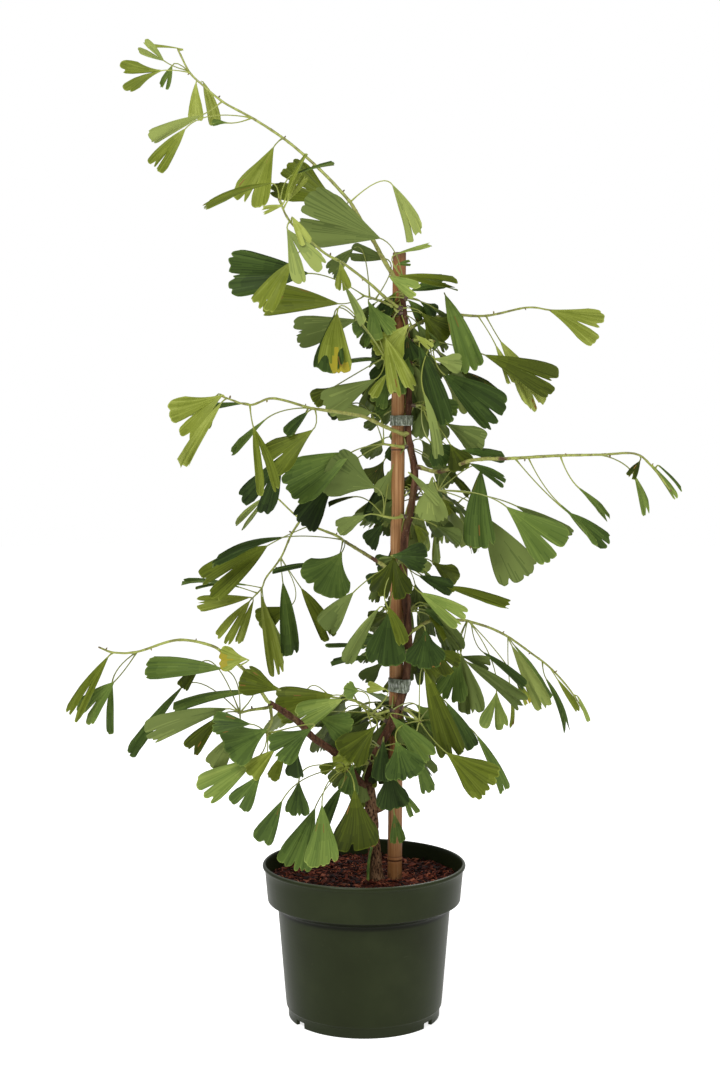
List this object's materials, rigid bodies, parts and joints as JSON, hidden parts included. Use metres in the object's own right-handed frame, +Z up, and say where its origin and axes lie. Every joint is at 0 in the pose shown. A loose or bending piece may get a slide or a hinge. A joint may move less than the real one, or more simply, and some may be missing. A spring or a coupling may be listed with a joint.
{
  "type": "potted ginkgo tree",
  "caption": "Young ginkgo tree with arching shoots and fan leaves, tied to a bamboo cane in a round rimmed nursery pot filled with bark mix.",
  "frame": {"origin": "middle of the flat pad under the pot, on the surface it stands on", "axes": "+Z up along the stem, +X to the right and -Y towards the viewer of the reference view"},
  "size_m": [0.6056, 0.3199, 1.0572],
  "materials": {
    "pot": "satin dark green",
    "soil": "rough chipped bark",
    "cane": "smooth bamboo",
    "tie": "soft clear film",
    "bark": "fissured bark",
    "shoot": "smooth young shoot",
    "leaf": "satin leaf"
  },
  "bodies": {
    "root": {"pot": "pot", "soil": "soil", "cane": "cane", "tie_lower": "tie", "tie_upper": "tie", "trunk": "bark", "sucker": "shoot", "leader": "shoot", "left_high_bough": "shoot", "left_mid_bough": "shoot", "left_low_bough": "bark", "right_high_bough": "shoot", "right_mid_bough": "shoot", "right_low_bough": "shoot", "leader_tip": "leaf", "high_left_shoot": "leaf", "top_spray": "leaf", "top_left_spray": "leaf", "upper_left_spray": "leaf", "left_high_leaves": "leaf", "left_inner_leaves": "leaf", "left_centre_leaves": "leaf", "left_mid_leaves": "leaf", "centre_leaves": "leaf", "centre_low_leaves": "leaf", "right_high_leaves": "leaf", "right_high_inner": "leaf", "right_tie_leaves": "leaf", "right_mid_inner": "leaf", "right_mid_leaves": "leaf", "right_low_leaves": "leaf", "low_right_leaves": "leaf", "foot_leaves": "leaf", "low_centre_leaves": "leaf", "left_low_shoot": "leaf", "left_low_spray": "leaf", "left_low_hanging": "leaf", "low_left_hanging": "leaf", "back_high_leaves": "leaf", "back_mid_leaves": "leaf", "back_low_leaves": "leaf", "back_foot_leaves": "leaf"}
  },
  "joints": []
}
